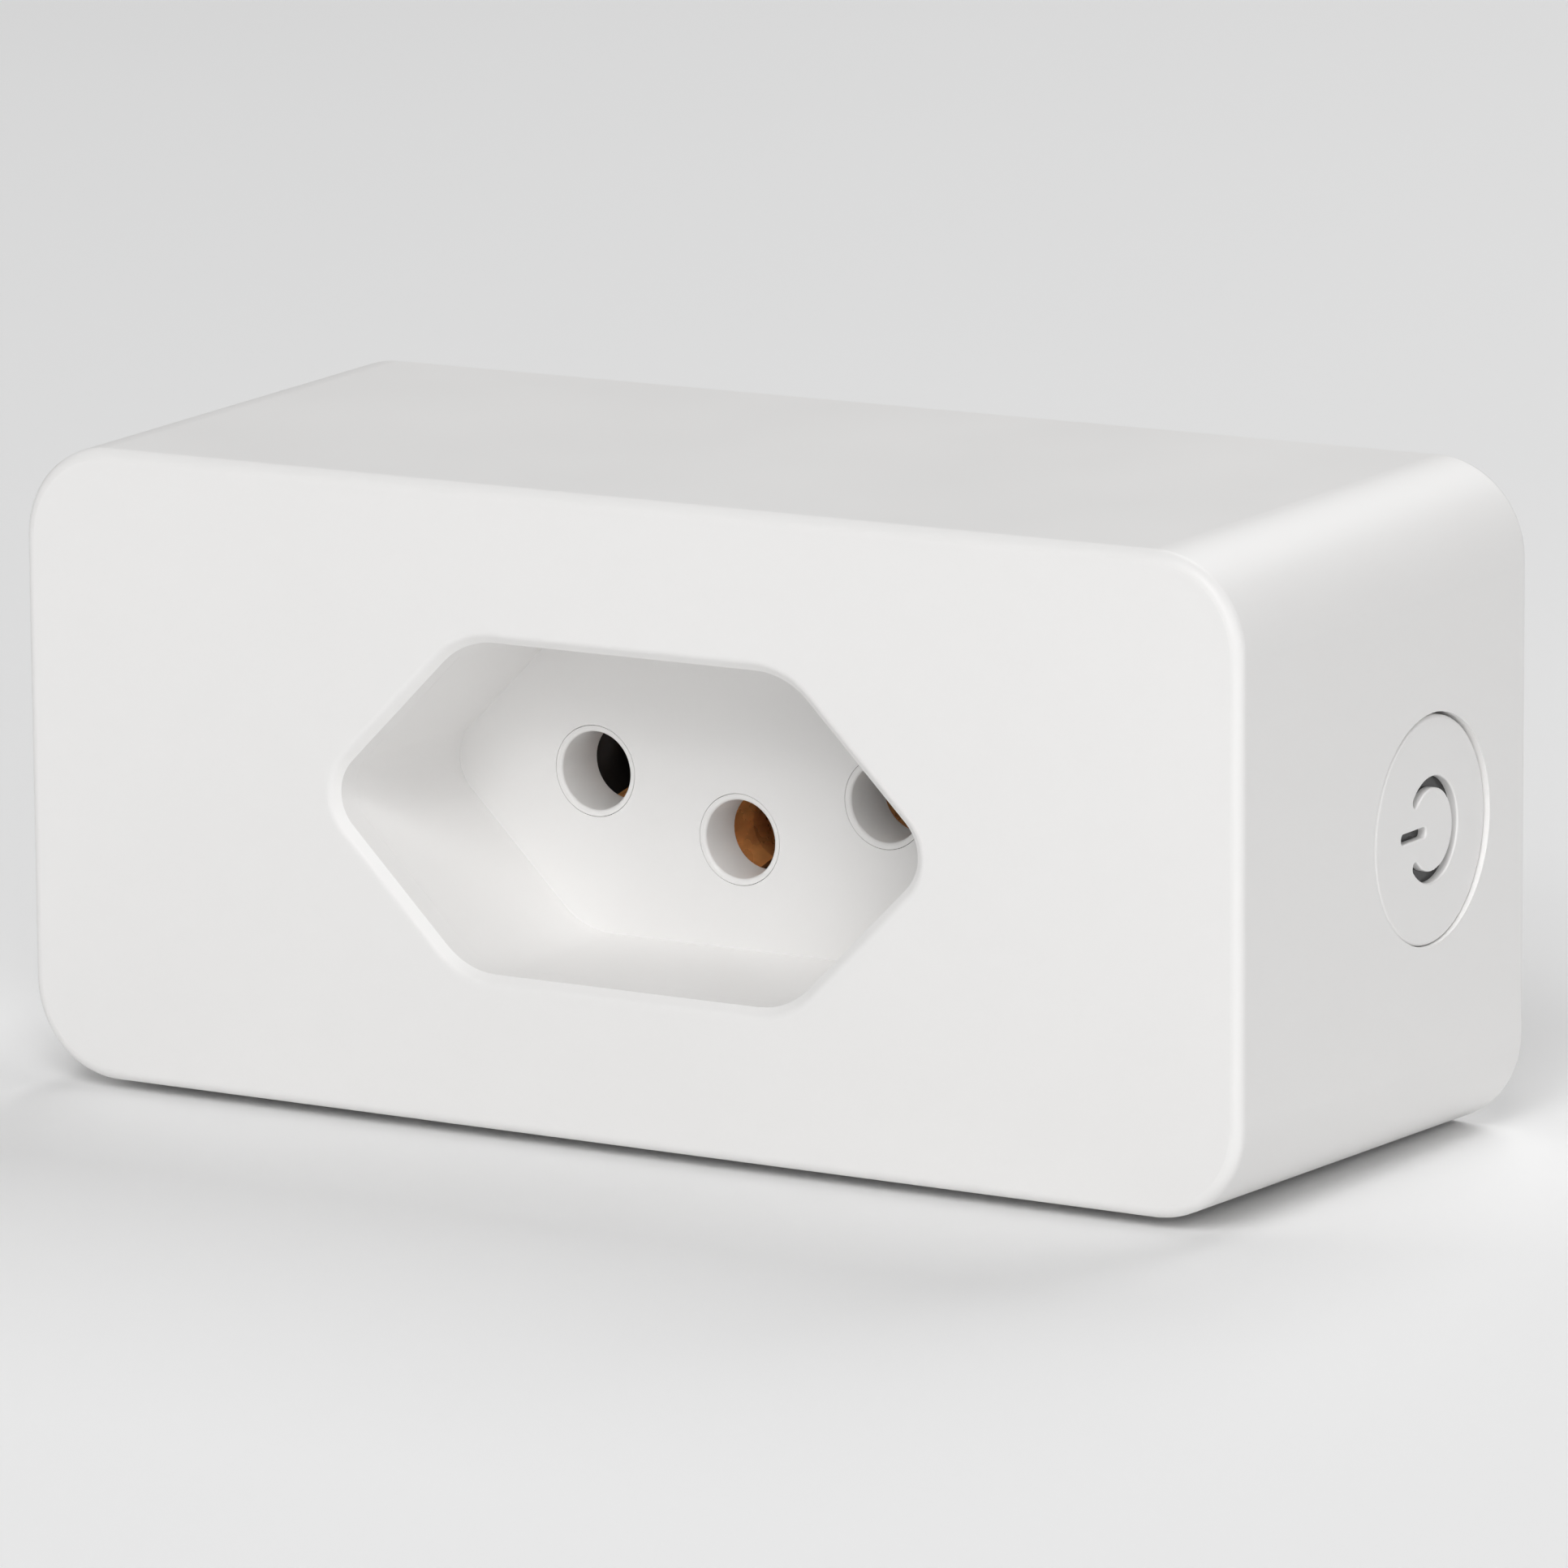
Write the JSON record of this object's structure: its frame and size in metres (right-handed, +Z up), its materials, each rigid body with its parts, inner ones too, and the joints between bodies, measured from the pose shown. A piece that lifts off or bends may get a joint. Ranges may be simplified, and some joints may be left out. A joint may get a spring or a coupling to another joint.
{
  "type": "smart plug",
  "caption": "White in-line smart plug: a rounded box with a hexagonal recessed socket in front, a power button on one side and a round-pin plug boss behind.",
  "frame": {"origin": "centre of the plug boss's engagement face, midway between the line and neutral pins", "axes": "+Y into the wall along the plug pins, +Z up, +X towards the side with the button; the socket faces -Y"},
  "size_m": [0.0798, 0.0625, 0.0378],
  "materials": {
    "housing_white": "fine matt moulded plastic",
    "core_white": "smooth moulded plastic",
    "holder_black": "moulded heat-resistant plastic",
    "button_white": "fine matt moulded plastic",
    "carrier_grey": "smooth moulded plastic",
    "pin_nickel": "nickel-plated turned brass",
    "contact_copper": "rolled copper alloy",
    "strap_brass": "stamped brass strip",
    "spring_steel": "bright spring steel",
    "screw_steel": "zinc-plated steel",
    "board_green": "solder-masked glass-fibre board",
    "film_yellow": "moulded case",
    "can_sleeve": "shrink-sleeved aluminium can",
    "ferrite": "sintered ferrite",
    "winding_copper": "enamelled copper wire",
    "varistor_blue": "dipped epoxy coating",
    "resistor_green": "lacquered body",
    "chip_black": "moulded epoxy",
    "shunt_metal": "resistance alloy strip",
    "relay_blue": "gloss moulded case",
    "relay_black": "moulded base",
    "soft_iron": "plated soft iron",
    "contact_silver": "silver alloy",
    "header_black": "moulded nylon",
    "header_gold": "gold-flashed pins",
    "module_board": "solder-masked board",
    "shield_metal": "tin-plated pressed steel",
    "led_white": "clear-lensed chip",
    "guide_smoke": "smoked acrylic",
    "switch_black": "moulded nylon",
    "switch_steel": "stamped stainless steel"
  },
  "bodies": {
    "casing": {"front_housing": "housing_white", "socket_well": "housing_white", "rear_cover": "housing_white", "housing_screws": "screw_steel", "socket_core": "core_white", "contact_holder": "holder_black", "socket_retainer": "core_white", "line_contact": "contact_copper", "neutral_contact": "contact_copper", "earth_contact": "contact_copper", "contact_clamp_springs": "spring_steel", "line_pin": "pin_nickel", "neutral_pin": "pin_nickel", "earth_pin": "pin_nickel", "pin_carrier": "carrier_grey", "neutral_strap": "strap_brass", "earth_strap": "strap_brass", "line_in_strap": "strap_brass", "line_out_strap": "strap_brass", "main_board": "board_green", "filter_capacitor": "film_yellow", "bulk_capacitors": "can_sleeve", "choke_core": "ferrite", "choke_winding": "winding_copper", "surge_varistor": "varistor_blue", "fuse_resistor": "resistor_green", "bridge_rectifier": "chip_black", "supply_chip": "chip_black", "metering_chip": "chip_black", "current_shunt": "shunt_metal", "relay_base": "relay_black", "relay_cover": "relay_blue", "relay_bobbin": "relay_black", "relay_coil": "winding_copper", "relay_core": "soft_iron", "relay_yoke": "soft_iron", "relay_fixed_contacts": "strap_brass", "relay_hinge_spring": "spring_steel", "relay_coil_terminals": "switch_steel", "control_board": "board_green", "board_header_pins": "header_gold", "board_header_body": "header_black", "radio_module": "module_board", "radio_shield": "shield_metal", "status_leds": "led_white", "tact_switch_body": "switch_black", "tact_switch_cover": "switch_steel", "tact_switch_dome": "spring_steel", "tact_switch_legs": "switch_steel"},
    "button": {"button_cap": "button_white", "light_guide": "guide_smoke"},
    "switch_plunger": {"tact_switch_plunger": "switch_black"},
    "relay_armature": {"relay_armature": "soft_iron", "relay_contact_arm": "contact_copper", "relay_moving_contact": "contact_silver"}
  },
  "joints": [
    {"name": "button_press", "type": "slide", "parent": "casing", "child": "button", "axis": [-1, 0, 0], "range_m": [0, 0.00035], "stiffness_N_per_m": 300, "springref_m": -0.001},
    {"name": "switch_plunger_press", "type": "slide", "parent": "casing", "child": "switch_plunger", "axis": [-1, 0, 0], "range_m": [0, 0.00035]},
    {"name": "relay_armature_swing", "type": "hinge", "parent": "casing", "child": "relay_armature", "pos_m": [-0.0289, -0.02745, -0.0082], "axis": [-1, 0, 0], "range_deg": [0, 4], "stiffness_Nm_per_rad": 0.02, "springref_deg": -5.73}
  ],
  "couplings": [
    {"joint": "switch_plunger_press", "follows": "button_press", "ratio": 1}
  ]
}
